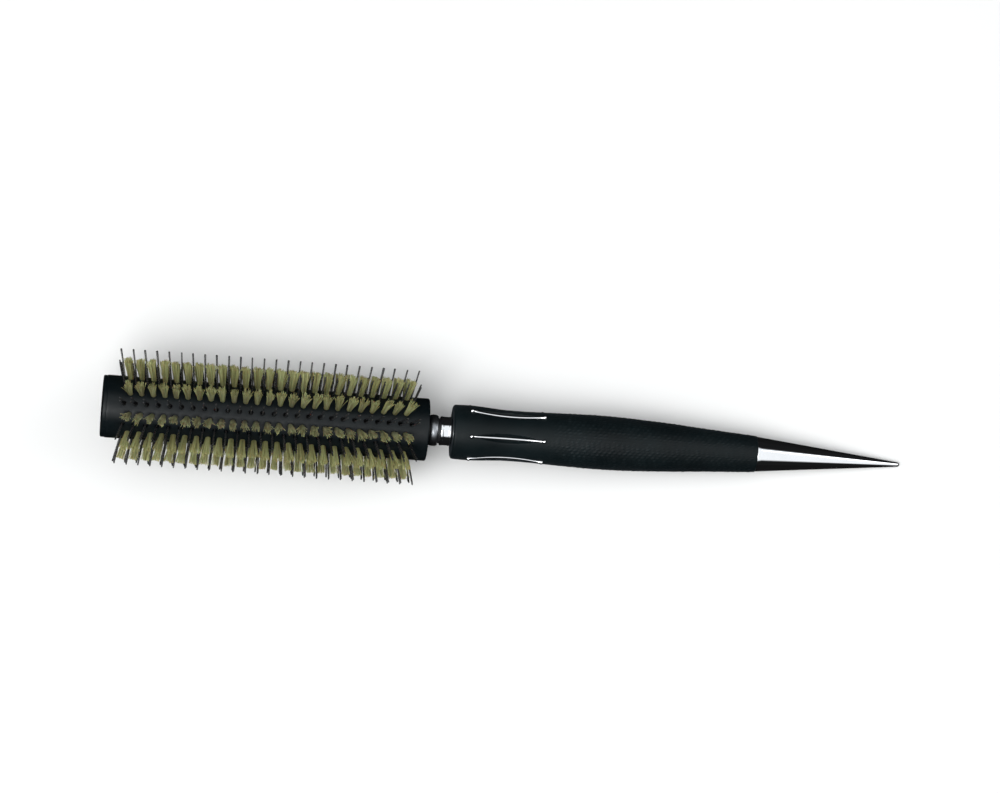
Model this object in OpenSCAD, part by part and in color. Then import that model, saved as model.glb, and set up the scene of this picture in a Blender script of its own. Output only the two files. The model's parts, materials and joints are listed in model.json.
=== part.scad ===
// Round styling brush. A drilled barrel carries boar tufts and nylon quills; a steel rod joins it to a
// handle with a soft sleeve, six bright grip bars and a sectioning tail. Every piece is drawn about the X
// axis, from the flat face of the barrel's end cap at X = 0 to the tip of the tail. Then lying() leans the
// whole brush about that face's centre, as it lies on a table with the quills and the handle's end down.

/* [Barrel] */
// Outer diameter of the barrel
barrel_d = 21; // [20:0.5:23]
// Length of the barrel, with its end cap
barrel_len = 109.3; // [108:0.1:114]
// Diameter of the hollow through the barrel
barrel_bore_d = 8; // [7:0.1:8.4]
// Thickness of the end cap's disc
cap_t = 1.3; // [1:0.1:2]

/* [Boar tufts] */
// Number of rows around the barrel, of tufts and of quills alike
row_count = 9; // [8:1:10]
// Tufts in each row
tufts_per_row = 25; // [20:1:25]
// Distance from one tuft to the next along a row
tuft_pitch = 3.85; // [3.6:0.05:3.9]
// Diameter of a tuft where it leaves the barrel
tuft_d = 1.8; // [1.4:0.1:1.9]
// Diameter of a tuft at its fanned tip
tuft_tip_d = 3; // [2:0.1:3.2]
// Distance from the brush's axis to the tips of the tufts
tuft_reach = 17.5; // [15:0.1:19]

/* [Nylon quills] */
// Diameter of one filament
quill_d = 0.5; // [0.4:0.05:0.7]
// Distance between the two tips of a folded filament
quill_spread = 1.24; // [1:0.02:1.6]
// Distance from the brush's axis to the tips of the quills
quill_reach = 19.8; // [18:0.1:20.5]
// How far the bristles at the ends of a row lean outwards, in degrees
lean_max = 12; // [0:1:14]

/* [Neck] */
// Diameter of the neck under the collar and the ring
neck_d = 8.4; // [7.6:0.1:8.6]
// Largest diameter of the crowned collar
collar_d = 10.6; // [10:0.1:12]
// Outer diameter of the bright ring
ring_d = 9.8; // [9.4:0.1:11]
// Distance from the barrel's end to the handle
neck_gap = 8.3; // [7.8:0.1:9]

/* [Handle] */
// Length of the soft sleeve
handle_len = 103.4; // [98:0.1:110]
// Diameter of the handle at its front shoulder
shoulder_d = 18.5; // [17:0.1:20]
// Diameter of the waist that the grip bars cross
waist_d = 17; // [16:0.1:17.6]
// Diameter of the swell in the palm
palm_d = 18.2; // [17:0.1:20]
// Diameter of the sleeve where it meets the tail
handle_end_d = 12.2; // [11:0.1:13]
// Thickness of the sleeve
sleeve_t = 2.4; // [2:0.1:2.8]

/* [Grip bars] */
// Number of bars around the handle
bar_count = 6; // [3:1:6]
// Thickness of a bar
bar_d = 1; // [0.8:0.1:1.2]
// Diameter of the bead on each end of a bar
bead_d = 1.5; // [1.3:0.1:1.8]
// Distance between the two beads of a bar
bar_len = 24.6; // [20:0.1:26]
// Width of the leaf-shaped hollow under a bar
leaf_w = 3; // [2:0.1:3.4]

/* [Tail] */
// Length of the sectioning tail
tail_len = 49.3; // [40:0.1:60]
// Diameter of the tail where it leaves the handle
tail_d = 11.8; // [10:0.1:12.2]
// Diameter of the tail's rounded tip
tip_d = 1.5; // [1:0.1:3]

/* [Inner parts] */
// Diameter of the steel core rod
rod_d = 5; // [4:0.1:5.4]
// Diameter of the stud that holds the tail
stud_d = 4; // [3:0.1:4.6]

/* [Hidden] */
$fn = 64;

// Clearance on the radius where one piece sits in another
fit = 0.05;
// Small bevels on the barrel's edges and on the metal pieces' edges
bevel = 0.4;
metal_bevel = 0.2;

barrel_r = barrel_d / 2;
bore_r = barrel_bore_d / 2;
rod_r = rod_d / 2;
stud_r = stud_d / 2;
neck_r = neck_d / 2;

// Bristle holes
hole_depth = 4.4;
row_step = 360 / row_count;
// A tuft row points straight down, so the brush lies on the quill rows to either side of it
first_row_angle = 180 % row_step;
tuft_r = tuft_d / 2;
tuft_hole_r = tuft_r + fit;
tuft_dome_h = 0.5;
tuft_dome_r = tuft_tip_d / 4;
quills_per_row = tufts_per_row + 1;
quill_r = quill_d / 2;
anchor_t = 0.3;
anchor_h = 1;
quill_leg_gap = anchor_t + quill_d + fit;
quill_len = quill_reach - barrel_r + hole_depth;
quill_splay = asin((quill_spread - quill_leg_gap) / 2 / quill_len);
quill_hole_r = quill_r + quill_leg_gap / 2 + hole_depth * tan(quill_splay) + fit;
fold_h = 0.5;
fold_w = 0.8 * quill_d;
rows_mid = 55.1;
row_half = tuft_pitch * (quills_per_row - 1) / 2;

// Stations along the axis
collar_x = barrel_len + 0.7;
collar_len = 2.8;
collar_shoulder = 0.35;
collar_crown = 0.1;
ring_x = barrel_len + 4.3;
ring_len = 3.7;
handle_x = barrel_len + neck_gap;
tail_x = handle_x + handle_len;
plug_depth = 12;
cap_spigot = 8;
neck_in_handle = 14;
core_x = handle_x + sleeve_t;
rod_x = 4;
rod_end_x = tail_x - 24;
stud_x = tail_x - 16;
stud_end_x = tail_x + 13;

// Handle outline: distance along the handle as a share of its length, and the radius there
handle_knots = [
    [0, shoulder_d / 2 - 0.15],
    [0.06, shoulder_d / 2],
    [0.19, waist_d / 2],
    [0.49, palm_d / 2],
    [0.68, palm_d / 2 - 0.75],
    [0.84, (palm_d + handle_end_d) / 4 - 0.4],
    [1, handle_end_d / 2]];
handle_steps = 40;
handle_edge_r = 0.8;

// Grip bars
bar_start = 6;
bar_lift = 0.1;
bar_bow = 0.7;
bar_pin_d = 0.9;
bar_pin_len = 1.8;
first_bar_angle = 15;
leaf_len = 23;
leaf_depth = 1.3;

function two_digits(i) = str(i < 10 ? "0" : "", i);
function tuft_row_name(i) = str("boar_tufts_row_", two_digits(i));
function quill_row_name(i) = str("quills_row_", two_digits(i));
function bar_name(i) = str("grip_bar_", i);

function tuft_x(i) = rows_mid + (i - (tufts_per_row + 1) / 2) * tuft_pitch;
function quill_x(i) = rows_mid + (i - (quills_per_row + 1) / 2) * tuft_pitch;
function lean_at(x) = lean_max * (x - rows_mid) / row_half;
function tuft_row_angle(row) = first_row_angle + (row - 1) * row_step;
function quill_row_angle(row) = first_row_angle + (row - 0.5) * row_step;

// Slope of the handle outline at knot k, from its neighbours
function knot_slope(k) =
    let (a = handle_knots[max(k - 1, 0)], b = handle_knots[min(k + 1, len(handle_knots) - 1)])
    (b[1] - a[1]) / (b[0] - a[0]);

// Smooth curve from knot k to the next one, at share t of the way
function between_knots(k, t) =
    let (
        a = handle_knots[k],
        b = handle_knots[k + 1],
        w = b[0] - a[0],
        ease = t * t * (3 - 2 * t))
    a[1] * (1 - ease) + b[1] * ease
        + w * t * (1 - t) * (knot_slope(k) * (1 - t) - knot_slope(k + 1) * t);

// Radius of the handle at share s of its length
function handle_r(s) =
    let (k = min([for (j = [0:len(handle_knots) - 2]) if (s <= handle_knots[j + 1][0]) j]))
    between_knots(k, (s - handle_knots[k][0]) / (handle_knots[k + 1][0] - handle_knots[k][0]));

function handle_r_at(x) = handle_r((x - handle_x) / handle_len);

// Centre height and radius of the arc through three points [x, r]
function arc_centre(p, q, s) =
    let (
        d = 2 * (p[0] * (q[1] - s[1]) + q[0] * (s[1] - p[1]) + s[0] * (p[1] - q[1])),
        pp = p * p,
        qq = q * q,
        ss = s * s)
    [
        (pp * (q[1] - s[1]) + qq * (s[1] - p[1]) + ss * (p[1] - q[1])) / d,
        (pp * (s[0] - q[0]) + qq * (p[0] - s[0]) + ss * (q[0] - p[0])) / d];

// The brush lies on the rearmost tips of its two lowest quill rows. They stand foot_angle to either side,
// and low_tip is where they touch, as [x, distance below the axis]
foot_angle = row_step / 2;
last_quill_x = quill_x(quills_per_row);
quill_rise = quill_reach - barrel_r;
low_tip = [
    last_quill_x + quill_rise * sin(lean_at(last_quill_x)),
    (barrel_r + quill_rise * cos(lean_at(last_quill_x))) * cos(foot_angle)
        + quill_spread / 2 * sin(foot_angle)];
// The lean at which the brush touches the table behind those tips as well
lie_tilt = atan(min(
    (low_tip[1] - handle_end_d / 2) / (tail_x - low_tip[0]),
    (low_tip[1] - tip_d / 2) / (tail_x + tail_len - tip_d / 2 - low_tip[0])));

module lying() rotate([0, lie_tilt, 0]) children();

// Turns an outline of [radius, distance along X] points about the brush's axis
module turned(outline) rotate([0, 90, 0]) rotate_extrude() polygon(outline);

// Plain rod or hole on the brush's axis
module on_axis(r, from, to) translate([from, 0, 0]) rotate([0, 90, 0]) cylinder(r = r, h = to - from);

// Stands its children on the barrel's surface, pointing out along a bristle
module on_barrel(angle, x)
    rotate([angle, 0, 0]) translate([x, 0, barrel_r]) rotate([0, lean_at(x), 0]) children();

module bristle_hole(r) translate([0, 0, -hole_depth]) cylinder(r = r, h = hole_depth + 1);

module barrel_body()
    color("#1b1c1f")
    difference() {
        turned([
            [bore_r, cap_t],
            [barrel_r, cap_t],
            [barrel_r, barrel_len - bevel],
            [barrel_r - bevel, barrel_len],
            [bore_r, barrel_len]]);
        for (row = [1:row_count]) {
            for (i = [1:tufts_per_row]) on_barrel(tuft_row_angle(row), tuft_x(i)) bristle_hole(tuft_hole_r);
            for (i = [1:quills_per_row])
                on_barrel(quill_row_angle(row), quill_x(i)) bristle_hole(quill_hole_r);
        }
    }

module barrel_end_cap()
    color("#26272b")
    difference() {
        turned([
            [0, 0],
            [barrel_r - bevel, 0],
            [barrel_r, bevel],
            [barrel_r, cap_t],
            [bore_r - fit, cap_t],
            [bore_r - fit, cap_t + cap_spigot],
            [0, cap_t + cap_spigot]]);
        on_axis(rod_r + fit, rod_x - fit, cap_t + cap_spigot + 1);
    }

module neck_plug()
    color("#15161a")
    difference() {
        turned([
            [0, barrel_len - plug_depth],
            [bore_r - fit, barrel_len - plug_depth],
            [bore_r - fit, barrel_len - fit],
            [neck_r, barrel_len],
            [neck_r, core_x + neck_in_handle],
            [0, core_x + neck_in_handle]]);
        on_axis(rod_r + fit, barrel_len - plug_depth - 1, core_x + neck_in_handle + 1);
    }

module core_rod() color("#8d9196") on_axis(rod_r, rod_x, rod_end_x);

// Window through a tuft that its anchor passes through
module anchor_window() translate([0, 0, fold_h - hole_depth + anchor_h / 2])
    cube([2 * tuft_tip_d, anchor_t + fit, anchor_h + fit], center = true);

module boar_tuft() {
    tuft_len = tuft_reach - barrel_r;
    difference() {
        rotate_extrude() polygon([
            [0, fit - hole_depth],
            [tuft_r, fit - hole_depth],
            [tuft_r, 0],
            [tuft_tip_d / 2, tuft_len - tuft_dome_h],
            [tuft_dome_r, tuft_len],
            [0, tuft_len]]);
        anchor_window();
    }
}

module boar_tufts_row(row)
    color("#b9ae6c")
    for (i = [1:tufts_per_row]) on_barrel(tuft_row_angle(row), tuft_x(i)) boar_tuft();

module quill_leg(side)
    translate([0, side * quill_leg_gap / 2, fit - hole_depth])
    rotate([-side * quill_splay, 0, 0])
    rotate_extrude() {
        square([quill_r, quill_len - quill_r - fit]);
        translate([0, quill_len - quill_r - fit]) intersection() {
            circle(quill_r);
            square(quill_r);
        }
    }

// One filament folded in half, with the fold pressed flat under its anchor
module nylon_quill() {
    quill_leg(1);
    quill_leg(-1);
    translate([0, 0, fit - hole_depth + fold_h / 2])
        cube([fold_w, quill_leg_gap, fold_h - fit], center = true);
}

module quills_row(row)
    color("#3a3b3f")
    for (i = [2:quills_per_row - 1]) on_barrel(quill_row_angle(row), quill_x(i)) nylon_quill();

// The outermost quill of every row at one end of the barrel
module quills_end_ring(i)
    color("#3a3b3f")
    for (row = [1:row_count]) on_barrel(quill_row_angle(row), quill_x(i)) nylon_quill();

// Flat piece of wire that spans a hole and holds the fold at its bottom
module anchor(hole_r) {
    anchor_w = 2 * sqrt(hole_r * hole_r - anchor_t * anchor_t / 4) - fit;
    translate([0, 0, fold_h - hole_depth + anchor_h / 2 + fit / 2])
        cube([anchor_w, anchor_t, anchor_h - fit], center = true);
}

module tuft_anchors()
    color("#b08d3e")
    for (row = [1:row_count], i = [1:tufts_per_row])
        on_barrel(tuft_row_angle(row), tuft_x(i)) anchor(tuft_hole_r);

module quill_anchors()
    color("#b08d3e")
    for (row = [1:row_count], i = [1:quills_per_row])
        on_barrel(quill_row_angle(row), quill_x(i)) anchor(quill_hole_r);

module neck_collar() {
    collar_r = collar_d / 2;
    color("#7d8187")
    turned([
        [neck_r + fit, collar_x],
        [collar_r - collar_shoulder, collar_x],
        [collar_r - collar_crown, collar_x + collar_len / 5],
        [collar_r, collar_x + collar_len / 2],
        [collar_r - collar_crown, collar_x + collar_len * 4 / 5],
        [collar_r - collar_shoulder, collar_x + collar_len],
        [neck_r + fit, collar_x + collar_len]]);
}

module neck_ring() {
    ring_r = ring_d / 2;
    color("#d8dadd")
    turned([
        [neck_r + fit, ring_x],
        [ring_r - metal_bevel, ring_x],
        [ring_r, ring_x + metal_bevel],
        [ring_r, ring_x + ring_len - metal_bevel],
        [ring_r - metal_bevel, ring_x + ring_len],
        [neck_r + fit, ring_x + ring_len]]);
}

// Outline of the handle from one station to another, set in from the surface
function handle_outline(from, to, inset) = [
    for (j = [0:handle_steps])
        let (x = from + (to - from) * j / handle_steps)
        [handle_r_at(x) - inset, x]];

module handle_core()
    color("#202124")
    difference() {
        turned(concat(
            [[0, core_x]],
            handle_outline(core_x, tail_x, sleeve_t + fit),
            [[0, tail_x]]));
        on_axis(neck_r + fit, core_x - 1, core_x + neck_in_handle + fit);
        on_axis(rod_r + fit, core_x, rod_end_x + fit);
        on_axis(stud_r + fit, stud_x - fit, tail_x + 1);
    }

// Leaf-shaped cutter: the overlap of two round posts, kept to a skin under the surface
module leaf_cutter() {
    post_r = (leaf_len * leaf_len / leaf_w + leaf_w) / 4;
    difference() {
        intersection_for (side = [-1, 1])
            translate([bar_mid_x, side * (post_r - leaf_w / 2), 0])
            cylinder(r = post_r, h = shoulder_d);
        turned(concat(
            [[0, handle_x]],
            handle_outline(handle_x, tail_x, leaf_depth),
            [[0, tail_x]]));
    }
}

// Ends and middle of a bar's centre line, as [x, r]
bar_from = [handle_x + bar_start, handle_r_at(handle_x + bar_start) + bar_lift];
bar_to = [handle_x + bar_start + bar_len, handle_r_at(handle_x + bar_start + bar_len) + bar_lift];
bar_mid_x = handle_x + bar_start + bar_len / 2;
bar_mid = [bar_mid_x, handle_r_at(bar_mid_x) + bar_lift - bar_bow];
bar_centre = arc_centre(bar_from, bar_mid, bar_to);
bar_arc_r = norm(bar_mid - bar_centre);
bar_slope = atan2(bar_to[1] - bar_from[1], bar_to[0] - bar_from[0]);

module around_handle(i) rotate([first_bar_angle + (i - 1) * 360 / bar_count, 0, 0]) children();

module bar_pins(grow)
    for (p = [bar_from, bar_to])
        translate([p[0], 0, p[1] - bar_pin_len]) cylinder(d = bar_pin_d + 2 * grow, h = bar_pin_len);

module grip_sleeve()
    color("#17181b")
    difference() {
        turned(concat(
            [[neck_r + fit, handle_x], [handle_r(0) - handle_edge_r, handle_x]],
            [for (a = [15:15:75])
                [handle_r(0) - handle_edge_r * (1 - sin(a)), handle_x + handle_edge_r * (1 - cos(a))]],
            handle_outline(handle_x + handle_edge_r, tail_x, 0),
            handle_outline(tail_x, core_x, sleeve_t),
            [[neck_r + fit, core_x]]));
        for (i = [1:bar_count]) around_handle(i) {
            leaf_cutter();
            bar_pins(fit);
        }
    }

// Bright bar bowed along the waist, with a bead and a pin at each end
module grip_bar(i) {
    sweep = 2 * asin(norm(bar_to - bar_from) / 2 / bar_arc_r);
    color("#d8dadd")
    around_handle(i) {
        translate([bar_centre[0], 0, bar_centre[1]])
            rotate([90, 0, 0])
            rotate([0, 0, bar_slope - 90 - sweep / 2])
            rotate_extrude(angle = sweep)
            translate([bar_arc_r, 0]) circle(d = bar_d);
        for (p = [bar_from, bar_to]) translate([p[0], 0, p[1]]) sphere(d = bead_d);
        bar_pins(0);
    }
}

module tail_cone() {
    tip_r = tip_d / 2;
    taper = atan((tail_d / 2 - tip_r) / (tail_len - tip_r));
    color("#c9ccd0")
    difference() {
        turned(concat(
            [[0, tail_x], [tail_d / 2 - metal_bevel, tail_x], [tail_d / 2, tail_x + metal_bevel]],
            [for (a = [taper:(90 - taper) / 6:90.01])
                [tip_r * cos(a), tail_x + tail_len - tip_r + tip_r * sin(a)]]));
        on_axis(stud_r + fit, tail_x - 1, stud_end_x + fit);
    }
}

module tail_stud() color("#9a9da2") on_axis(stud_r, stud_x, stud_end_x);

lying() barrel_body();
lying() barrel_end_cap();
lying() neck_plug();
lying() core_rod();
for (i = [1:row_count]) lying() boar_tufts_row(i);
for (i = [1:row_count]) lying() quills_row(i);
lying() quills_end_ring(1);  // quills_front_ring
lying() quills_end_ring(quills_per_row);  // quills_rear_ring
lying() tuft_anchors();
lying() quill_anchors();
lying() neck_collar();
lying() neck_ring();
lying() handle_core();
lying() grip_sleeve();
for (i = [1:bar_count]) lying() grip_bar(i);
lying() tail_cone();
lying() tail_stud();
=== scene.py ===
"""Round styling brush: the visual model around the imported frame.

Every shown piece is made in brush coordinates, in millimetres: X runs along the brush from the barrel's
end, and a direction round it is an angle from straight up, growing towards the camera. to_frame() then
carries the piece into the row frame, where the brush lies on its quills and on the end of its handle.
"""

import json
import math

import bpy
import numpy as np
from mathutils import Matrix, Vector


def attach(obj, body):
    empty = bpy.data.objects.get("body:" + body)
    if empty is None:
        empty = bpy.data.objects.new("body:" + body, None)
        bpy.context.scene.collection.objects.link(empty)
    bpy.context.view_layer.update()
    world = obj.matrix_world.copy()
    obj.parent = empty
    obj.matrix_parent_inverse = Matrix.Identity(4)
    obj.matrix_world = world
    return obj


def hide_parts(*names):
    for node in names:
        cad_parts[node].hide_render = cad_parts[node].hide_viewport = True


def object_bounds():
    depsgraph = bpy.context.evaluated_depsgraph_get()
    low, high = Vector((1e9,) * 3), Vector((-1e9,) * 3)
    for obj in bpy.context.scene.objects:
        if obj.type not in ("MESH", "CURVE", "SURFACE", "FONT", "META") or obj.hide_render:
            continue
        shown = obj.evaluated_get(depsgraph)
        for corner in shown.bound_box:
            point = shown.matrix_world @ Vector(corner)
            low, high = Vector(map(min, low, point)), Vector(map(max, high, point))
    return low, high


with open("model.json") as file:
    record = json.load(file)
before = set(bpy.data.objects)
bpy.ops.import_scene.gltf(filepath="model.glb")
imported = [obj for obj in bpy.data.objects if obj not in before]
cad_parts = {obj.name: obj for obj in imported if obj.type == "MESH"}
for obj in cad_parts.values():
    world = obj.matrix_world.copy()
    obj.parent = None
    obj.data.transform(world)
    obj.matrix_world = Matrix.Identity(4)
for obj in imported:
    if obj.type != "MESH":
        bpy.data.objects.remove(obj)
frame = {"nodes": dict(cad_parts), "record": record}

CAD_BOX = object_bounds()
MM = 0.001
SEED = 11

# ---------------------------------------------------------------- the frame, in brush coordinates

BARREL_END = next(m for m in frame["record"]["mounts"] if m["name"] == "barrel_end")
LEAN = math.atan2(BARREL_END["axis"][2], -BARREL_END["axis"][0])
TO_FRAME = Matrix.Translation(BARREL_END["pos_m"]) @ Matrix.Rotation(LEAN, 4, "Y")


def to_frame(x, angle=0.0, radius=0.0):
    """A place given as a station, an angle and a radius in mm, in the row frame in metres."""
    a = math.radians(angle)
    return TO_FRAME @ (Vector((x, -radius * math.sin(a), radius * math.cos(a))) * MM)


def brush_points(node):
    """A CAD node's vertices in brush coordinates, in mm."""
    mesh = frame["nodes"][node].data
    co = np.empty(len(mesh.vertices) * 3, np.float32)
    mesh.vertices.foreach_get("co", co)
    back = np.array(TO_FRAME.inverted())
    return (co.reshape(-1, 3) @ back[:3, :3].T + back[:3, 3]) / MM


def extent(node):
    """A CAD node's first and last station and its largest radius."""
    p = brush_points(node)
    return p[:, 0].min(), p[:, 0].max(), np.hypot(p[:, 1], p[:, 2]).max()


def angle_of(node):
    """The angle round the brush that a row or a bar lies at."""
    y, z = brush_points(node)[:, 1:].mean(0)
    return math.degrees(math.atan2(-y, z))


CAP_X, BARREL_X, BARREL_R = extent("barrel_body")
CAP_BACK = extent("barrel_end_cap")[1]
COLLAR_X, COLLAR_BACK, COLLAR_R = extent("neck_collar")
RING_X, RING_BACK, RING_R = extent("neck_ring")
HANDLE_X, TAIL_X, _ = extent("grip_sleeve")
_, TIP_X, TAIL_R = extent("tail_cone")
NECK_FROM, NECK_TO, NECK_R = extent("neck_plug")
ROWS = range(1, 1 + sum(name.startswith("boar_tufts_row_") for name in frame["nodes"]))
ROW_STEP = 360 / len(ROWS)
FIRST_ROW = angle_of("boar_tufts_row_01")

# ---------------------------------------------------------------- sizes that the frame doesn't state, in mm

GOLDEN_ANGLE = math.radians(137.508)
TUFTS = 25
QUILLS = TUFTS + 1
PITCH = 3.85
LEAN_MAX = 12.0
HOLE_DEPTH = 4.4
TUFT_HOLE_R = 0.95
QUILL_HOLE_R = 0.79
TUFT_R = 0.9
TUFT_TIP_R = 1.5
TUFT_REACH = extent("boar_tufts_row_01")[2]
QUILL_R = 0.25
QUILL_REACH = extent("quills_row_01")[2]
QUILL_FOOT = 0.43
QUILL_SPREAD = 0.62
BORE_R = 4.0
STUD_HOLE_R = 2.05
ROD_HOLE_R = 2.55
# Clearance on the radius where one piece sits in another
FIT = 0.05
ROWS_MID = sum(extent("boar_tufts_row_01")[:2]) / 2


def tuft_x(i):
    return ROWS_MID + (i - (TUFTS - 1) / 2) * PITCH


def quill_x(i):
    return ROWS_MID + (i - (QUILLS - 1) / 2) * PITCH


def lean_at(x):
    """How far the bristles at a station lean outwards, in degrees."""
    return LEAN_MAX * (x - ROWS_MID) / (PITCH * (QUILLS - 1) / 2)


# ---------------------------------------------------------------- materials


class Nodes:
    """A material's node tree, with short calls for the nodes that these materials use."""

    def __init__(self, name):
        self.material = bpy.data.materials.new(name)
        self.material.use_nodes = True
        self.tree = self.material.node_tree
        self.shader = self.tree.nodes["Principled BSDF"]

    def set(self, **values):
        for socket, value in values.items():
            self.shader.inputs[socket.replace("_", " ")].default_value = value

    def add(self, kind, links=(), **values):
        node = self.tree.nodes.new("ShaderNode" + kind)
        for key, value in values.items():
            socket = node.inputs.get(key.replace("_", " "))
            if socket is None:
                setattr(node, key, value)
            else:
                socket.default_value = value
        for key, source in dict(links).items():
            self.tree.links.new(source, node.inputs[key])
        return node

    def position(self):
        return self.add("TexCoord").outputs["Object"]

    def noise(self, scale, detail=3.0, stretch=(1, 1, 1)):
        """Noise of about 1 / scale metres a grain, stretched along the axes."""
        mapping = self.add("Mapping", {"Vector": self.position()}, Scale=stretch)
        return self.add("TexNoise", {"Vector": mapping.outputs[0]}, Scale=scale, Detail=detail).outputs[0]

    def spread(self, source, low, high, from_low=0.3, from_high=0.7):
        """The source's usual range carried to low..high."""
        node = self.add("MapRange", {"Value": source})
        node.inputs["From Min"].default_value = from_low
        node.inputs["From Max"].default_value = from_high
        node.inputs["To Min"].default_value = low
        node.inputs["To Max"].default_value = high
        return node.outputs[0]

    def colours(self, source, *stops):
        """A colour ramp: stops are (position, (r, g, b))."""
        node = self.add("ValToRGB", {"Fac": source})
        ramp = node.color_ramp
        while len(ramp.elements) < len(stops):
            ramp.elements.new(0.5)
        for element, (at, rgb) in zip(ramp.elements, stops):
            element.position = at
            element.color = (*rgb, 1)
        return node.outputs[0]

    def bump(self, height, strength, distance):
        return self.add("Bump", {"Height": height}, Strength=strength, Distance=distance).outputs[0]

    def link(self, source, socket):
        self.tree.links.new(source, self.shader.inputs[socket])


def barrel_material():
    """Satin black moulded plastic with a fine spark-eroded grain."""
    m = Nodes("satin_barrel")
    m.set(Metallic=0.0, Specular_IOR_Level=0.2)
    tone = m.noise(160, 4)
    m.link(m.colours(tone, (0.3, (0.0018, 0.0038, 0.0048)), (0.7, (0.0034, 0.0062, 0.0074))), "Base Color")
    m.link(m.spread(m.noise(900, 3), 0.3, 0.42), "Roughness")
    m.link(m.bump(m.noise(4200, 2), 0.12, 0.00004), "Normal")
    return m.material


def neck_material():
    m = Nodes("neck_plastic")
    m.set(Metallic=0.0)
    black = m.colours(m.noise(300, 3), (0.3, (0.006, 0.006, 0.007)), (0.7, (0.011, 0.011, 0.013)))
    m.link(black, "Base Color")
    m.link(m.spread(m.noise(1500, 2), 0.42, 0.55), "Roughness")
    m.link(m.bump(m.noise(3600, 2), 0.15, 0.00004), "Normal")
    return m.material


def grip_material():
    """Soft-touch rubber: matt, its colour lighter on the raised grain, with a micro grain under the raised
    one.
    """
    m = Nodes("soft_grip")
    m.set(Metallic=0.0, Specular_IOR_Level=0.16)
    m.set(Sheen_Weight=0.04, Sheen_Roughness=0.4, Sheen_Tint=(0.55, 0.65, 0.75, 1))
    cloud = m.noise(70, 4)
    # the colour is lighter where the grain stands higher
    relief_height = m.add("Attribute", attribute_name="relief").outputs["Fac"]
    mixed = m.add("Math", {0: cloud, 1: m.spread(relief_height, -0.1, 0.3, -0.35, 1.0)}, operation="ADD").outputs[0]
    dark, middle, lightest = (0.0012, 0.0034, 0.0042), (0.0026, 0.0062, 0.0074), (0.0062, 0.0118, 0.0136)
    m.link(m.colours(mixed, (0.25, dark), (0.6, middle), (0.95, lightest)), "Base Color")
    m.link(m.spread(m.noise(380, 3), 0.42, 0.56), "Roughness")
    m.link(m.bump(m.noise(5200, 3), 0.25, 0.00005), "Normal")
    return m.material


def chrome_material(name, tint=(0.83, 0.84, 0.86), lowest=0.035, highest=0.09, drawn=1.0):
    """Polished plating: a mirror with faint polishing lines along or round the piece."""
    m = Nodes(name)
    m.set(Metallic=1.0)
    m.link(m.colours(m.noise(220, 3), (0.3, tuple(0.95 * c for c in tint)), (0.7, tint)), "Base Color")
    lines = m.noise(900, 4, (drawn, 1, 1))
    m.link(m.spread(lines, lowest, highest), "Roughness")
    m.link(m.bump(lines, 0.05, 0.00002), "Normal")
    return m.material


def collar_material():
    """Satin gunmetal with fine turning lines round it."""
    m = Nodes("satin_collar")
    m.set(Metallic=1.0)
    lines = m.noise(700, 3, (14, 1, 1))
    m.link(m.colours(lines, (0.3, (0.2, 0.21, 0.225)), (0.7, (0.33, 0.34, 0.36))), "Base Color")
    m.link(m.spread(lines, 0.26, 0.4), "Roughness")
    m.link(m.bump(lines, 0.12, 0.00003), "Normal")
    return m.material


def boar_material():
    """Pale natural bristle: each strand has its own tone, with painted shade towards the root and a painted
    highlight at the tip.
    """
    m = Nodes("boar_bristle")
    m.set(Metallic=0.0, Roughness=0.46, Specular_IOR_Level=0.5, Sheen_Weight=0.1)
    m.set(Subsurface_Weight=0.12, Subsurface_Scale=0.0006)
    tone = m.add("Attribute", attribute_name="tone").outputs["Fac"]
    along = m.add("Attribute", attribute_name="along").outputs["Fac"]
    streak = m.spread(m.noise(1500, 3), -0.12, 0.12)
    mixed = m.add("Math", {0: tone, 1: streak}, operation="ADD").outputs[0]
    dark, usual, pale = (0.15, 0.14, 0.046), (0.285, 0.288, 0.114), (0.43, 0.45, 0.212)
    strand = m.colours(mixed, (0.0, dark), (0.45, usual), (0.9, pale))
    # painted shade darkens each strand towards its root, deep in the tuft, and a painted highlight lightens
    # it past its own tone at the tip
    root, stem, tip = (0.58, 0.56, 0.5), (0.84, 0.83, 0.8), (1.12, 1.12, 1.12)
    painted_root_shade_tip_light = m.colours(along, (0.0, root), (0.45, stem), (1.0, tip))
    node = m.add("Mix", data_type="RGBA", blend_type="MULTIPLY")
    node.inputs["Factor"].default_value = 1.0
    m.tree.links.new(strand, node.inputs[6])
    m.tree.links.new(painted_root_shade_tip_light, node.inputs[7])
    m.link(node.outputs[2], "Base Color")
    m.link(m.bump(m.noise(5000, 2), 0.2, 0.00004), "Normal")
    return m.material


def nylon_material():
    """Dark nylon filament, a little see-through at the skin, with rounded glossy tips."""
    m = Nodes("nylon_filament")
    m.set(Metallic=0.0, Coat_Weight=0.35, Coat_Roughness=0.12)
    m.set(Subsurface_Weight=0.05, Subsurface_Scale=0.0004)
    tone = m.add("Attribute", attribute_name="tone").outputs["Fac"]
    m.link(m.colours(tone, (0.0, (0.012, 0.012, 0.013)), (1.0, (0.035, 0.034, 0.033))), "Base Color")
    m.link(m.spread(m.noise(1800, 3), 0.2, 0.34), "Roughness")
    m.link(m.bump(m.noise(3500, 2), 0.08, 0.00003), "Normal")
    return m.material


def inner_material(name, dark, light, metallic, roughness):
    """For the pieces inside: drawn or moulded stock with a plain fine grain."""
    m = Nodes(name)
    m.set(Metallic=metallic)
    grain = m.noise(800, 3, (1, 6, 6))
    m.link(m.colours(grain, (0.3, dark), (0.7, light)), "Base Color")
    m.link(m.spread(grain, roughness, roughness + 0.12), "Roughness")
    return m.material


# ---------------------------------------------------------------- making pieces


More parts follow.
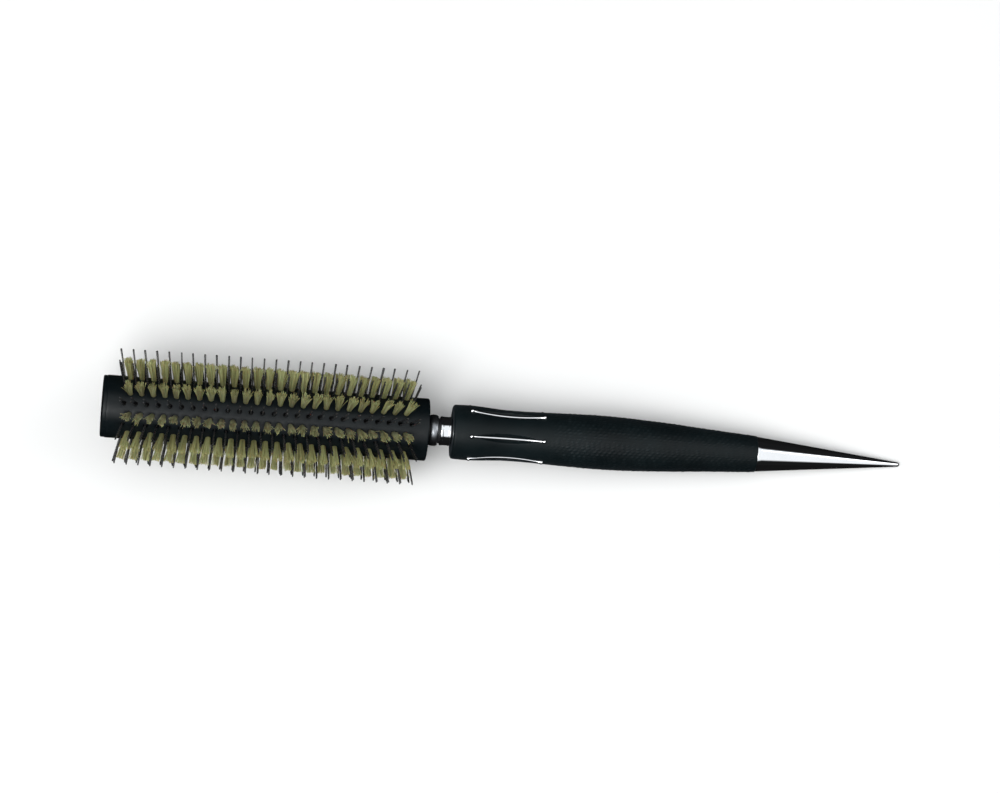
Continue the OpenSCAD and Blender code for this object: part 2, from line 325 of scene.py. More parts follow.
def add_piece(name, points, faces, material, slot, nodes, sharp=35.0, **fields):
    """Makes one shown piece from points in brush coordinates, and hides the CAD nodes that it stands for."""
    mesh = bpy.data.meshes.new(name)
    mesh.from_pydata([tuple(p) for p in np.asarray(points) * MM], [], faces)
    mesh.transform(TO_FRAME)
    for field, values in fields.items():
        mesh.attributes.new(field, "FLOAT", "POINT").data.foreach_set("value", np.asarray(values, np.float32))
    mesh.materials.append(material)
    mesh.polygons.foreach_set("use_smooth", [True] * len(mesh.polygons))
    mesh.set_sharp_from_angle(angle=math.radians(sharp))
    mesh.update()
    piece = bpy.data.objects.new(name, mesh)
    bpy.context.scene.collection.objects.link(piece)
    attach(piece, "root")
    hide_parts(*nodes)
    return piece


def filleted(corners, steps=6):
    """An outline through corners (x, radius, fillet), each corner rounded by its fillet."""
    out = []
    for k, (x, r, fillet) in enumerate(corners):
        if not fillet:
            out.append((x, r))
            continue
        here = Vector((x, r))
        before = (Vector(corners[k - 1][:2]) - here).normalized()
        after = (Vector(corners[(k + 1) % len(corners)][:2]) - here).normalized()
        half = before.angle(after) / 2
        start = here + before * fillet / math.tan(half)
        centre = here + (before + after).normalized() * fillet / math.sin(half)
        turn = (math.pi - 2 * half) * (1 if before.cross(after) < 0 else -1)
        spoke = start - centre
        for j in range(steps + 1):
            spoke_j = spoke.copy()
            spoke_j.rotate(Matrix.Rotation(turn * j / steps, 2))
            out.append(tuple(centre + spoke_j))
    return out


def turned(outline, segments=160, closed=False):
    """Points and faces of an outline [(x, radius)] turned about the brush's axis. A radius of 0 is a pole."""
    angles = np.arange(segments) * 2 * math.pi / segments
    points, rings = [], []
    for x, r in outline:
        if r <= 0:
            rings.append([len(points)])
            points.append((x, 0.0, 0.0))
        else:
            rings.append([len(points) + k for k in range(segments)])
            points.extend((x, -r * math.sin(a), r * math.cos(a)) for a in angles)
    pairs = list(zip(rings, rings[1:] + rings[:1] if closed else rings[1:]))
    faces = []
    for a, b in pairs:
        for k in range(segments):
            n = (k + 1) % segments
            if len(a) == 1:
                faces.append((a[0], b[k], b[n]))
            elif len(b) == 1:
                faces.append((a[k], b[0], a[n]))
            else:
                faces.append((a[k], b[k], b[n], a[n]))
    return points, faces


def on_barrel(points, angle, x):
    """Carries points from a bristle's own place, Z out along it, onto the barrel."""
    lean, turn = math.radians(lean_at(x)), math.radians(angle)
    p = np.asarray(points)
    px = x + p[..., 0] * math.cos(lean) + p[..., 2] * math.sin(lean)
    out = BARREL_R - p[..., 0] * math.sin(lean) + p[..., 2] * math.cos(lean)
    side = p[..., 1]
    py = side * math.cos(turn) - out * math.sin(turn)
    pz = side * math.sin(turn) + out * math.cos(turn)
    return np.stack([px, py, pz], -1)


# ---------------------------------------------------------------- barrel, with a rim round every hole

CELL = 8
RIM = 0.13
RIM_ROUND = 0.05
HOLE_PHI = np.arange(4 * CELL) * 2 * math.pi / (4 * CELL)


def hole_ring(radius, sink, angle, x):
    """A ring round a hole: on the barrel's skin, sunk by sink below it."""
    lean = math.radians(lean_at(x))
    skin = BARREL_R - sink
    side = radius * np.sin(HOLE_PHI)
    across = radius * np.cos(HOLE_PHI)
    rise = (np.sqrt(skin**2 - side**2) - BARREL_R + across * math.sin(lean)) / math.cos(lean)
    return on_barrel(np.stack([across, side, rise], -1), angle, x)


def hole_bottom(radius, angle, x):
    floor = np.full_like(HOLE_PHI, -HOLE_DEPTH)
    return on_barrel(np.stack([radius * np.cos(HOLE_PHI), radius * np.sin(HOLE_PHI), floor], -1), angle, x)


def build_barrel(material):
    """The barrel's skin is a lattice. The cell round each hole gives way to rings that run down into it."""
    around = int(2 * CELL * len(ROWS))
    columns = QUILLS * CELL + 1
    first_x = ROWS_MID - PITCH * QUILLS / 2
    first_angle = FIRST_ROW - ROW_STEP / 4
    points, faces = [], []
    lattice = np.arange(columns * around).reshape(columns, around)
    for c in range(columns):
        for j in range(around):
            a = math.radians(first_angle + 360 * j / around)
            x = first_x + c * PITCH / CELL
            points.append((x, -BARREL_R * math.sin(a), BARREL_R * math.cos(a)))
    taken = np.zeros((columns - 1, around), bool)

    def drill(c, j, hole_r, angle, x):
        half = CELL // 2
        taken[c - half : c + half, np.arange(j - half, j + half) % around] = True
        # the cell's border, starting at its middle on the +X side and turning as the rings do
        border = (
            [(c + half, j + d) for d in range(0, half + 1)]
            + [(c + half - d, j + half) for d in range(1, CELL + 1)]
            + [(c - half, j + half - d) for d in range(1, CELL + 1)]
            + [(c - half + d, j - half) for d in range(1, CELL + 1)]
            + [(c + half, j - half + d) for d in range(1, half)]
        )
        rings = [[int(lattice[u, v % around]) for u, v in border]]
        made = [
            hole_ring(hole_r + RIM, 0.0, angle, x),
            hole_ring(hole_r + RIM_ROUND / 3, RIM_ROUND / 3, angle, x),
            hole_ring(hole_r, RIM_ROUND, angle, x),
            hole_bottom(hole_r, angle, x),
        ]
        for ring in made:
            # rings are counted against the angle round the barrel, as the border is
            ring = ring[(-np.arange(len(ring))) % len(ring)]
            rings.append(list(range(len(points), len(points) + len(ring))))
            points.extend(map(tuple, ring))
        for a, b in zip(rings, rings[1:]):
            for k in range(len(a)):
                n = (k + 1) % len(a)
                faces.append((a[k], a[n], b[n], b[k]))
        faces.append(tuple(rings[-1]))

    for row in range(len(ROWS)):
        for i in range(TUFTS):
            place = (FIRST_ROW + ROW_STEP * row, tuft_x(i))
            drill(CELL * (i + 1), CELL // 2 + 2 * CELL * row, TUFT_HOLE_R, *place)
        for i in range(QUILLS):
            drill(
                CELL // 2 + CELL * i,
                CELL // 2 + CELL + 2 * CELL * row,
                QUILL_HOLE_R,
                FIRST_ROW + ROW_STEP * (row + 0.5),
                quill_x(i),
            )
    for c in range(columns - 1):
        for j in range(around):
            if not taken[c, j]:
                n = (j + 1) % around
                cell = (lattice[c, j], lattice[c + 1, j], lattice[c + 1, n], lattice[c, n])
                faces.append(tuple(int(v) for v in cell))

    def close(corners, column, forwards):
        """Runs rings from the lattice's edge round the barrel's end to the bore."""
        previous = [int(v) for v in lattice[column]]
        for x, r in corners:
            ring = list(range(len(points), len(points) + around))
            for j in range(around):
                a = math.radians(first_angle + 360 * j / around)
                points.append((x, -r * math.sin(a), r * math.cos(a)))
            for j in range(around):
                n = (j + 1) % around
                quad = (previous[j], ring[j], ring[n], previous[n])
                faces.append(quad if forwards else quad[::-1])
            previous = ring
        return previous

    back = filleted([(BARREL_X - 1, BARREL_R, 0), (BARREL_X, BARREL_R, 0.45), (BARREL_X, BORE_R, 0)])
    front = filleted([(CAP_X + 1, BARREL_R, 0), (CAP_X, BARREL_R, 0.22), (CAP_X, BORE_R, 0)])
    far = close(back, -1, True)
    near = close(front, 0, False)
    for j in range(around):
        n = (j + 1) % around
        faces.append((far[j], near[j], near[n], far[n]))
    return add_piece("barrel", points, faces, material, "barrel", ["barrel_body"])


# How far the cap sits inside the barrel's rim
CAP_STEP = 0.15


def build_end_cap(material):
    spigot = BORE_R - FIT
    outline = filleted(
        [
            (0.0, 0.0, 0),
            (0.0, BARREL_R - CAP_STEP, 0.5),
            (CAP_X, BARREL_R - CAP_STEP, 0.05),
            (CAP_X, spigot, 0),
            (CAP_BACK, spigot, 0.3),
            (CAP_BACK, 0.0, 0),
        ]
    )
    points, faces = turned(outline)
    return add_piece("end_cap", points, faces, material, "end_cap", ["barrel_end_cap"])


# ---------------------------------------------------------------- bristles


def strand_points(root, tip, end, rng):
    """One strand's centre line: straight inside the hole, then fanning out with a little bend."""
    heights = np.array([-HOLE_DEPTH + 0.1, -0.1, 0.3 * end, 0.65 * end, end])
    share = np.clip(heights / end, 0, 1)
    bend = rng.normal(0, 0.07, 2)
    flat = root + (tip - root) * share[:, None] ** 1.3 + bend * share[:, None] ** 2.2
    return np.column_stack([flat, heights])


def tube_faces(rings, sides):
    """Faces of a tube whose points go ring by ring, closed at both ends."""
    faces = []
    for k in range(rings - 1):
        a, b = k * sides, (k + 1) * sides
        faces += [(a + s, a + (s + 1) % sides, b + (s + 1) % sides, b + s) for s in range(sides)]
    faces.append(tuple(range(sides - 1, -1, -1)))
    faces.append(tuple(range((rings - 1) * sides, rings * sides)))
    return faces


def tube(path, radii, sides, phase=0.0):
    """Points and faces of a tube along a nearly straight path, closed at both ends. Its rings lie flat."""
    phi = phase + np.arange(sides) * 2 * math.pi / sides
    ring = np.column_stack([np.cos(phi), np.sin(phi), np.zeros(sides)])
    points = (path[:, None, :] + radii[:, None, None] * ring[None]).reshape(-1, 3)
    return points, tube_faces(len(path), sides)


STRANDS = 66
LOCKS = 8
STRAND_R = 0.1
STRAY_SHARE = 0.05
# Where a strand's rings lie along it, and how it thins towards its cut tip
STRAND_ALONG = [0, 0.05, 0.4, 0.75, 1.0]
STRAND_TAPER = np.array([1, 1, 0.97, 0.92, 0.8])
STRAND_SIDES = 3


def build_tuft_row(row, material):
    """A row of tufts. Each is a bundle of separate tapered bristles whose tips part into uneven locks."""
    rng = np.random.default_rng(SEED + row)
    length = TUFT_REACH - BARREL_R
    points, faces, tones, alongs = [], [], [], []
    count = 0
    for i in range(TUFTS):
        bundle = []
        tuft_tone = rng.normal(0.5, 0.06)
        swirl = rng.uniform(0, 2 * math.pi)
        combed = rng.normal(0, 0.22, 2)
        lock_way = rng.normal(0, 0.3, (LOCKS, 2))
        lock_cut = np.abs(rng.normal(0, 0.42, LOCKS))
        lock_tone = rng.normal(0, 0.1, LOCKS)
        for k in range(STRANDS):
            r = math.sqrt((k + 0.5) / STRANDS)
            a = swirl + k * GOLDEN_ANGLE
            way = np.array([math.cos(a), math.sin(a)])
            lock = 0 if r < 0.4 else 1 + int((a % (2 * math.pi)) / (2 * math.pi) * (LOCKS - 1))
            root = way * r * (TUFT_R - STRAND_R)
            tip = way * r * TUFT_TIP_R * rng.normal(0.95, 0.08) + lock_way[lock] * r + combed
            tip = tip + rng.normal(0, 0.05, 2)
            end = length - lock_cut[lock] - abs(rng.normal(0, 0.22))
            if rng.random() < STRAY_SHARE:
                tip = tip + way * rng.uniform(0.3, 1.1)
            path = strand_points(root, tip, end, rng)
            thick = STRAND_R * rng.uniform(0.8, 1.15)
            p, f = tube(path, thick * STRAND_TAPER, STRAND_SIDES, rng.uniform(0, 2))
            bundle.append(p)
            faces += [tuple(v + count for v in face) for face in f]
            count += len(p)
            tones += [tuft_tone + lock_tone[lock] + rng.normal(0, 0.17)] * len(p)
            alongs += list(np.repeat(STRAND_ALONG, STRAND_SIDES))
        points.append(on_barrel(np.concatenate(bundle), FIRST_ROW + ROW_STEP * (row - 1), tuft_x(i)))
    name, node = f"tufts_{row:02d}", f"boar_tufts_row_{row:02d}"
    points = np.concatenate(points)
    return add_piece(name, points, faces, material, "boar", [node], 80, tone=tones, along=alongs)


QUILL_SEED = SEED + 50
RING_SEED = SEED + 90


def quill_leg(side, rng):
    """One leg of a folded filament: a round stem with a domed tip."""
    length = QUILL_REACH - BARREL_R
    dome = np.radians([0, 30, 55, 75, 88])
    stem = [[-HOLE_DEPTH + 0.1, 0.0], length * np.array([0.35, 0.65, 0.85])]
    heights = np.concatenate([*stem, length - QUILL_R + QUILL_R * np.sin(dome)])
    share = (heights + HOLE_DEPTH) / (length + HOLE_DEPTH)
    lift = np.clip(heights / length, 0, 1) ** 2
    sway = rng.normal(0, 0.13, 2)
    y = side * (QUILL_FOOT + (QUILL_SPREAD - QUILL_FOOT) * share) + sway[1] * lift
    x = sway[0] * lift
    radii = np.full(len(heights), QUILL_R)
    radii[-len(dome) :] = QUILL_R * np.cos(dome)
    return tube(np.column_stack([x, y, heights]), radii, 12)


def build_quills(name, node, places, material, seed):
    """Folded filaments at the given places, each (angle, station)."""
    rng = np.random.default_rng(seed)
    points, faces, tones = [], [], []
    count = 0
    for angle, x in places:
        tone = rng.random()
        for side in (-1, 1):
            p, f = quill_leg(side, rng)
            points.append(on_barrel(p, angle, x))
            faces += [tuple(v + count for v in face) for face in f]
            count += len(p)
            tones += [tone] * len(p)
    return add_piece(name, np.concatenate(points), faces, material, "nylon", [node], 50, tone=tones)


# ---------------------------------------------------------------- neck


def build_neck(material):
    points, faces = turned(
        filleted(
            [
                (NECK_FROM, 0.0, 0),
                (NECK_FROM, BORE_R - FIT, 0.2),
                (BARREL_X, BORE_R - FIT, 0),
                (BARREL_X, NECK_R, 0),
                (NECK_TO, NECK_R, 0.2),
                (NECK_TO, 0.0, 0),
            ]
        ),
        96,
    )
    return add_piece("neck", points, faces, material, "neck", ["neck_plug"])


def build_collar(material):
    """A crowned collar: a shallow arc between two rounded shoulders."""
    crown = [
        (COLLAR_X + (COLLAR_BACK - COLLAR_X) * t, COLLAR_R - 0.3 * (2 * t - 1) ** 2, 0)
        for t in np.linspace(0.12, 0.88, 9)
    ]
    corners = (
        [(COLLAR_X, NECK_R + FIT, 0), (COLLAR_X, COLLAR_R - 0.42, 0.18)]
        + crown
        + [(COLLAR_BACK, COLLAR_R - 0.42, 0.18), (COLLAR_BACK, NECK_R + FIT, 0)]
    )
    points, faces = turned(filleted(corners), closed=True)
    return add_piece("collar", points, faces, material, "collar", ["neck_collar"])


def build_ring(material):
    """A bright ring with full rounded shoulders and a slightly hollow band between them."""
    low = RING_R - 0.1
    corners = [
        (RING_X, NECK_R + FIT, 0),
        (RING_X, RING_R, 0.28),
        (RING_X + 0.75, RING_R, 0.3),
        (RING_X + 1.0, low, 0.3),
        (RING_BACK - 1.0, low, 0.3),
        (RING_BACK - 0.75, RING_R, 0.3),
        (RING_BACK, RING_R, 0.28),
        (RING_BACK, NECK_R + FIT, 0),
    ]
    points, faces = turned(filleted(corners, 5), closed=True)
    return add_piece("ring", points, faces, material, "bright_metal", ["neck_ring"])


# ---------------------------------------------------------------- handle

HANDLE_STEPS = 40
EDGE_R = 0.8
SLEEVE_T = 2.4
LEAF_L = 23.0
LEAF_W = 3.0
LEAF_DEPTH = 1.3
LEAF_EDGE = 0.45
BARS = range(1, 7)
BAR_ANGLES = [angle_of(f"grip_bar_{i}") for i in BARS]
BAR_X = extent("grip_bar_1")[:2]
# The CAD bar's radius at its middle, the drawn bar's there, and the bead's at either end
BAR_R = 0.5
STEM_R = 0.48
BEAD_R = 0.75


def handle_profile():
    """The sleeve's radius along the handle, read off the CAD sleeve's outline and smoothed."""
    p = brush_points("grip_sleeve")
    r = np.hypot(p[:, 1], p[:, 2])
    stations = np.linspace(HANDLE_X + EDGE_R, TAIL_X, HANDLE_STEPS + 1)
    found = [r[abs(p[:, 0] - s) < 0.03].max() for s in stations]
    fine = np.linspace(HANDLE_X - 4, TAIL_X + 4, 1200)
    slope = (found[-1] - found[-2]) / (stations[-1] - stations[-2])
    rough = np.where(fine > TAIL_X, found[-1] + slope * (fine - TAIL_X), np.interp(fine, stations, found))
    width = 35
    padded = np.pad(rough, width // 2, mode="edge")
    return fine, np.convolve(padded, np.ones(width) / width, "valid")


PROFILE_X, PROFILE_R = handle_profile()


def handle_r(x):
    return np.interp(x, PROFILE_X, PROFILE_R)


def smooth_step(t):
    t = np.clip(t, 0, 1)
    return t * t * (3 - 2 * t)


def leaf_depth(x, angle):
    """How deep the leaf-shaped hollows under the bars are at a place on the handle."""
    middle = sum(BAR_X) / 2
    post = (LEAF_L**2 / LEAF_W + LEAF_W) / 4
    reach = np.clip(abs(x - middle), 0, LEAF_L / 2)
    half = np.sqrt(post**2 - reach**2) - (post - LEAF_W / 2)
    depth = np.zeros(np.broadcast(x, angle).shape)
    for bar in BAR_ANGLES:
        off = (angle - bar + 180) % 360 - 180
        side = abs(np.radians(off)) * handle_r(x)
        inside = smooth_step((half - side) / LEAF_EDGE + 0.25)
        scoop = 0.75 + 0.25 * smooth_step((half - side) / (LEAF_W / 2))
        depth = np.maximum(depth, LEAF_DEPTH * inside * scoop * (reach < LEAF_L / 2))
    return depth


# A dash's length along the sleeve and width round it, and its slant as a share of its length
DASH_ALONG = 1.7
DASH_AROUND = 1.05
DASH_SLANT = 0.6
GRAIN_HEIGHT = 0.085
GRAIN_SEED = SEED + 40
# Where along the handle the grain starts and where it is full
GRAIN_FROM = (29.0, 40.0)


def grain_height(x, angle):
    """The raised grain: slanting dashes, each row starting at random, fading out towards the bars."""
    around = round(2 * math.pi * handle_r((HANDLE_X + TAIL_X) / 2) / DASH_AROUND)
    v = angle / 360 * around
    row = np.floor(v)
    across = v - row - 0.5
    rng = np.random.default_rng(GRAIN_SEED)
    dashes = int((TAIL_X - HANDLE_X) / DASH_ALONG) + 4
    start = rng.uniform(0, 1, around)
    tall = rng.uniform(0.25, 1.15, (around, dashes))
    which = row.astype(int) % around
    stagger = (x - HANDLE_X) / DASH_ALONG + start[which] + DASH_SLANT * across + 1
    dash = np.clip(np.round(stagger).astype(int), 0, dashes - 1)
    swell = np.cos(math.pi * across) * (0.5 + 0.5 * np.cos(2 * math.pi * stagger))
    height = 1.6 * tall[which, dash] * swell - 0.6
    fade = smooth_step((x - HANDLE_X - GRAIN_FROM[0]) / (GRAIN_FROM[1] - GRAIN_FROM[0]))
    end = smooth_step((TAIL_X - 0.8 - x) / 0.8)
    return height * (0.1 + 0.9 * fade) * end * smooth_step((x - HANDLE_X - 1.5) / 2)


def build_sleeve(material):
    """The soft sleeve as a fine grid, so that the hollows and the raised grain are real shape."""
    segments, along = 232, 376
    arc = np.radians(np.linspace(0, 90, 7))
    front = [(HANDLE_X, NECK_R + FIT), (HANDLE_X, handle_r(HANDLE_X) - 2.5)]
    front += [
        (HANDLE_X + EDGE_R * (1 - math.sin(math.pi / 2 - a)), handle_r(HANDLE_X) - EDGE_R * (1 - math.sin(a)))
        for a in arc[:-1]
    ]
    xs = np.linspace(HANDLE_X + EDGE_R, TAIL_X - 0.15, along)
    rim = handle_r(TAIL_X)
    inner = rim - SLEEVE_T
    back = [(TAIL_X, rim - 0.15), (TAIL_X, inner)]
    back += [(x, handle_r(x) - SLEEVE_T) for x in np.linspace(TAIL_X - 3, HANDLE_X + SLEEVE_T, 24)]
    back += [(HANDLE_X + SLEEVE_T, NECK_R + FIT)]
    outline = front + [(x, handle_r(x)) for x in xs] + back
    points, faces = turned(outline, segments, closed=True)
    points = np.array(points)
    outer = slice(len(front) * segments, (len(front) + along) * segments)
    p = points[outer]
    angle = np.degrees(np.arctan2(-p[:, 1], p[:, 2]))
    r = np.hypot(p[:, 1], p[:, 2])
    grain = grain_height(p[:, 0], angle)
    scale = (r - leaf_depth(p[:, 0], angle) + GRAIN_HEIGHT * grain) / r
    points[outer, 1:] = p[:, 1:] * scale[:, None]
    relief = np.zeros(len(points))
    relief[outer] = grain
    return add_piece("grip", points, faces, material, "soft_grip", ["grip_sleeve"], 60, relief=relief)


def build_core(material):
    """The stiff core under the sleeve, open at the front for the neck and at the back for the stud."""
    start = extent("handle_core")[0]
    xs = np.linspace(start, TAIL_X, 30)
    neck_hole_r, skin = NECK_R + 0.06, SLEEVE_T + 0.08
    stud_end, rod_end = TAIL_X - 16, TAIL_X - 24
    outline = [(start, neck_hole_r)] + [(x, handle_r(x) - skin) for x in xs]
    outline += [(TAIL_X, STUD_HOLE_R), (stud_end, STUD_HOLE_R), (rod_end, ROD_HOLE_R)]
    outline += [(NECK_TO + FIT, ROD_HOLE_R), (NECK_TO + FIT, neck_hole_r)]
    points, faces = turned(outline, 96, closed=True)
    return add_piece("core", points, faces, material, "core_plastic", ["handle_core"])


# ---------------------------------------------------------------- grip bars


def bar_arc(node, angle):
    """The circle that a bar's centre line follows, read off the CAD bar: its centre, radius and two ends."""
    p = brush_points(node)
    a = math.radians(angle)
    out = -p[:, 1] * math.sin(a) + p[:, 2] * math.cos(a)
    x0, x1 = p[:, 0].min(), p[:, 0].max()
    ends = [
        Vector((x, out[abs(p[:, 0] - x) < 0.25].max() - BEAD_R))
        for x in (x0 + BEAD_R, x1 - BEAD_R)
    ]
    middle = (x0 + x1) / 2
    sag_point = Vector((middle, out[abs(p[:, 0] - middle) < 1.5].min() + BAR_R))
    chord = ends[1] - ends[0]
    sag = ((ends[0] + ends[1]) / 2 - sag_point).length
    radius = (chord.length**2 / 4 + sag**2) / (2 * sag)
    normal = Vector((-chord.y, chord.x)).normalized()
    centre = (ends[0] + ends[1]) / 2 + normal * (radius - sag)
    return centre, radius, ends


def build_bar(i, material):
    """A slim bright bar, bowed along the waist, that swells into a bead at each end."""
    node = f"grip_bar_{i}"
    angle = BAR_ANGLES[i - 1]
    centre, radius, ends = bar_arc(node, angle)
    sides, run_in, swell_reach = 20, 1.5, 0.62
    start = math.atan2(ends[0].y - centre.y, ends[0].x - centre.x)
    stop = math.atan2(ends[1].y - centre.y, ends[1].x - centre.x)
    length = radius * abs(stop - start)
    dome = BEAD_R * np.sin(np.radians(np.linspace(-88, 0, 8)))
    neck = np.linspace(0, run_in, 10)[1:]
    middle = np.linspace(run_in, length - run_in, 26)[1:-1]
    s = np.concatenate([dome, neck, middle, length - neck[::-1], length - dome[::-1]])
    gap = np.minimum(s, length - s)
    swell = STEM_R + (BEAD_R - STEM_R) * np.exp(-((gap / swell_reach) ** 2))
    thick = np.where(gap < 0, np.sqrt(np.clip(BEAD_R**2 - gap**2, 0, None)), swell)
    t = start + (stop - start) * s / length
    spokes = np.column_stack([np.cos(t), np.sin(t)])
    line = np.array(centre) + radius * spokes
    phi = np.arange(sides) * 2 * math.pi / sides
    a = math.radians(angle)
    points = []
    for (x, r), (sx, sr), w in zip(line, spokes, thick):
        px = x + w * np.cos(phi) * sx
        out = r + w * np.cos(phi) * sr
        side = w * np.sin(phi)
        py = side * math.cos(a) - out * math.sin(a)
        pz = side * math.sin(a) + out * math.cos(a)
        points += list(zip(px, py, pz))
    return add_piece(f"bar_{i}", points, tube_faces(len(s), sides), material, "bright_metal", [node], 60)


def build_tail(material):
    """The polished sectioning tail: a straight taper with a softened shoulder and a rounded tip."""
    tip = 0.75
    bore_end = extent("tail_stud")[1] + FIT
    taper = math.atan2(TAIL_R - tip, TIP_X - TAIL_X - tip)
    nose = [
        (TIP_X - tip + tip * math.sin(a), tip * math.cos(a))
        for a in np.linspace(taper, math.pi / 2, 9)[:-1]
    ]
    cone = [
        (TAIL_X + (nose[0][0] - TAIL_X) * t, TAIL_R + (nose[0][1] - TAIL_R) * t)
        for t in np.linspace(0.03, 0.97, 30)
    ]
    shoulder = filleted([(TAIL_X, STUD_HOLE_R, 0), (TAIL_X, TAIL_R, 0.2), (cone[0][0], cone[0][1], 0)])
    outline = [(bore_end, 0), (bore_end, STUD_HOLE_R)] + shoulder + cone[1:] + nose + [(TIP_X, 0)]
    points, faces = turned(outline, 192)
    return add_piece("tail", points, faces, material, "tail_metal", ["tail_cone"])


# ---------------------------------------------------------------- the brush


def build_brush():
    plastic = barrel_material()
    build_barrel(plastic)
    build_end_cap(plastic)
    boar, nylon = boar_material(), nylon_material()
    for row in ROWS:
        build_tuft_row(row, boar)
        angle = FIRST_ROW + ROW_STEP * (row - 0.5)
        places = [(angle, quill_x(i)) for i in range(1, QUILLS - 1)]
        build_quills(f"quills_{row:02d}", f"quills_row_{row:02d}", places, nylon, QUILL_SEED + row)
    for name, i in (("quills_front", 0), ("quills_rear", QUILLS - 1)):
        places = [(FIRST_ROW + ROW_STEP * (row - 0.5), quill_x(i)) for row in ROWS]
        build_quills(name, f"{name}_ring", places, nylon, RING_SEED + i)
    build_neck(neck_material())
    build_collar(collar_material())
    build_ring(chrome_material("ring_chrome", drawn=0.2))
    build_sleeve(grip_material())
    build_core(inner_material("core_plastic", (0.012, 0.012, 0.013), (0.02, 0.02, 0.022), 0.0, 0.5))
    bar_chrome = chrome_material("bar_chrome", lowest=0.05, highest=0.11)
    for i in BARS:
        build_bar(i, bar_chrome)
    build_tail(chrome_material("tail_chrome", lowest=0.03, highest=0.075, drawn=0.12))
    inner = {
        "rod_steel": inner_material("drawn_steel", (0.4, 0.41, 0.42), (0.56, 0.57, 0.59), 1.0, 0.28),
        "anchor_wire": inner_material("anchor_wire", (0.02, 0.019, 0.018), (0.04, 0.038, 0.036), 1.0, 0.45),
    }
    for entry in frame["record"]["subparts"]:
        if entry["material_slot"] in inner:
            cad = frame["nodes"][entry["node"]]
            cad.data.materials.clear()
            cad.data.materials.append(inner[entry["material_slot"]])


# ---------------------------------------------------------------- floor, light and camera


# The floor's brightness in reflections, which keeps the chrome's dark edges
FLOOR_IN_CHROME = 0.007


def build_floor():
    """A wide plain pale floor at the lowest points of the brush."""
    lowest = CAD_BOX[0].z
    half = 6.0
    mesh = bpy.data.meshes.new("floor")
    corners = [(-half, -half, lowest), (half, -half, lowest), (half, half, lowest), (-half, half, lowest)]
    mesh.from_pydata(corners, [], [(0, 1, 2, 3)])
    m = Nodes("pale_floor")
    m.set(Metallic=0.0, Specular_IOR_Level=0.0)
    m.link(m.colours(m.noise(9, 4), (0.3, (0.79, 0.79, 0.785)), (0.7, (0.81, 0.81, 0.805))), "Base Color")
    m.link(m.spread(m.noise(40, 3), 0.62, 0.7), "Roughness")
    dim = m.add("BsdfDiffuse", Color=(FLOOR_IN_CHROME,) * 3 + (1,))
    seen = m.add("LightPath").outputs["Is Glossy Ray"]
    mix = m.add("MixShader", {0: seen, 1: m.shader.outputs[0], 2: dim.outputs[0]})
    m.tree.links.new(mix.outputs[0], m.tree.nodes["Material Output"].inputs["Surface"])
    mesh.materials.append(m.material)
    floor = bpy.data.objects.new("floor", mesh)
    bpy.context.scene.collection.objects.link(floor)


def aim(thing, target):
    thing.rotation_euler = (Vector(target) - thing.location).to_track_quat("-Z", "Y").to_euler()


def add_light(name, place, target, size, power):
    data = bpy.data.lights.new(name, "AREA")
    data.shape = "RECTANGLE"
    data.size, data.size_y = size
    data.energy = power
    light = bpy.data.objects.new(name, data)
    light.location = place
    bpy.context.scene.collection.objects.link(light)
    aim(light, target)


CAMERA_ELEVATION = 82.0
CAMERA_AZIMUTH = 3.46
CAMERA_DISTANCE = 1.75
# Width of the view at the brush, and how far its middle lies up the view from the brush's axis
VIEW_WIDTH = 0.3365
VIEW_RISE = 0.013
VIEW_STATION = 134.0
SENSOR = 36.0


def towards_camera():
    e, a = math.radians(CAMERA_ELEVATION), math.radians(CAMERA_AZIMUTH)
    return Vector((math.sin(a) * math.cos(e), -math.cos(a) * math.cos(e), math.sin(e)))


def build_camera():
    back = towards_camera()
    right = Vector((0, 0, 1)).cross(back).normalized()
    target = to_frame(VIEW_STATION) + back.cross(right) * VIEW_RISE
    data = bpy.data.cameras.new("camera")
    data.sensor_width = SENSOR
    data.lens = SENSOR * CAMERA_DISTANCE / VIEW_WIDTH
    data.clip_start, data.clip_end = 0.05, 30
    camera = bpy.data.objects.new("camera", data)
    camera.location = target + back * CAMERA_DISTANCE
    bpy.context.scene.collection.objects.link(camera)
    aim(camera, target)
    bpy.context.scene.camera = camera


GLOW_EDGE = 46.0
GLOW_SOFTNESS = 6.0
GLOW = 1.15
DIM = 0.012
# What the camera sees beyond the floor: the tone that the floor fades to, so that no edge shows
BACKDROP = (0.5, 0.503, 0.506, 1)


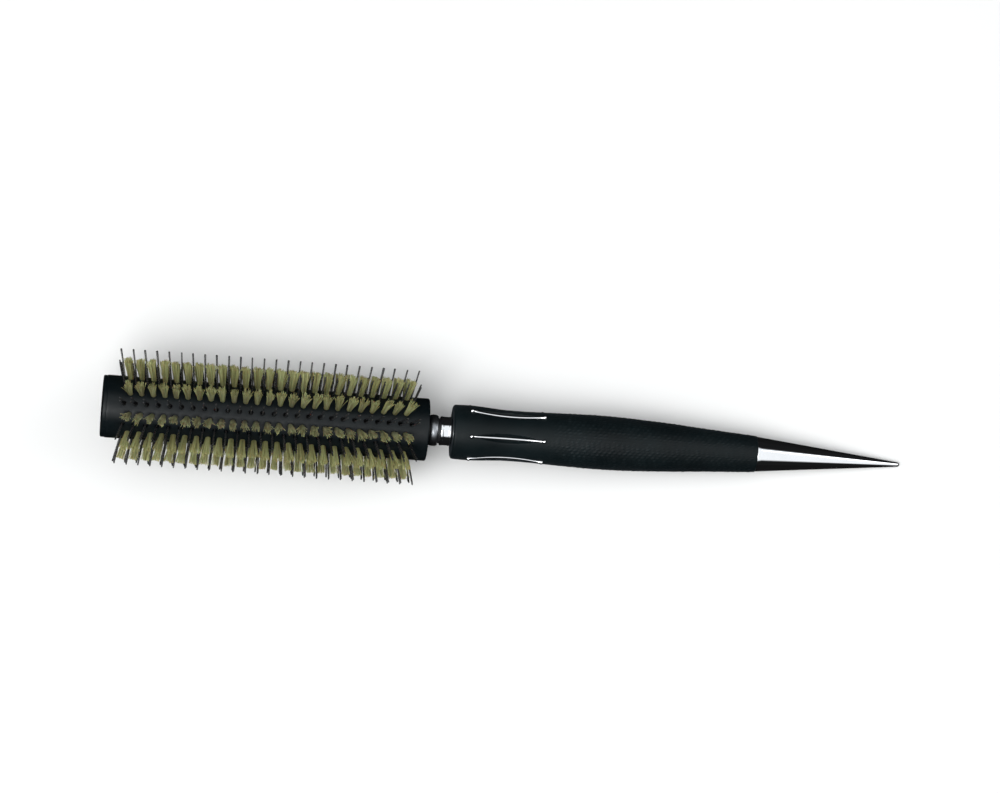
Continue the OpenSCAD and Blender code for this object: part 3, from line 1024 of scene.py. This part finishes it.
def build_world():
    """A plain backdrop to the camera. For light and reflections, a glow round the camera in a dim room."""
    world = bpy.data.worlds.new("studio")
    world.use_nodes = True
    bpy.context.scene.world = world
    tree = world.node_tree
    tree.nodes.clear()
    new = tree.nodes.new
    link = tree.links.new
    coord, towards = new("ShaderNodeTexCoord"), new("ShaderNodeVectorMath")
    towards.operation = "DOT_PRODUCT"
    link(coord.outputs["Generated"], towards.inputs[0])
    towards.inputs[1].default_value = towards_camera()
    level = new("ShaderNodeMapRange")
    level.interpolation_type = "SMOOTHSTEP"
    link(towards.outputs["Value"], level.inputs["Value"])
    level.inputs["From Min"].default_value = math.cos(math.radians(GLOW_EDGE + GLOW_SOFTNESS))
    level.inputs["From Max"].default_value = math.cos(math.radians(GLOW_EDGE - GLOW_SOFTNESS))
    level.inputs["To Min"].default_value = DIM
    level.inputs["To Max"].default_value = GLOW
    shown, lit, mix, out = (
        new("ShaderNodeBackground"),
        new("ShaderNodeBackground"),
        new("ShaderNodeMixShader"),
        new("ShaderNodeOutputWorld"),
    )
    shown.inputs["Color"].default_value = BACKDROP
    lit.inputs["Color"].default_value = (0.96, 0.985, 1.0, 1)
    link(level.outputs[0], lit.inputs["Strength"])
    path = new("ShaderNodeLightPath")
    link(path.outputs["Is Camera Ray"], mix.inputs["Fac"])
    link(lit.outputs[0], mix.inputs[1])
    link(shown.outputs[0], mix.inputs[2])
    link(mix.outputs[0], out.inputs["Surface"])


def build_lights():
    """A softbox over the camera's left shoulder, a small one that catches the rims from the barrel's side,
    and one off the tail's end, which the metal shows only when it is seen from the side or behind."""
    middle = to_frame(VIEW_STATION)
    add_light("key", middle + Vector((-0.45, -0.5, 1.3)), middle, (0.9, 0.9), 15)
    add_light("side", middle + Vector((-1.5, -0.25, 0.35)), middle, (0.5, 0.5), 5)
    add_light("end", middle + Vector((1.15, 0.25, 1.0)), middle, (0.9, 0.9), 6)


build_camera()
build_brush()
build_floor()
build_world()
build_lights()
bpy.context.scene.view_settings.view_transform = "Standard"
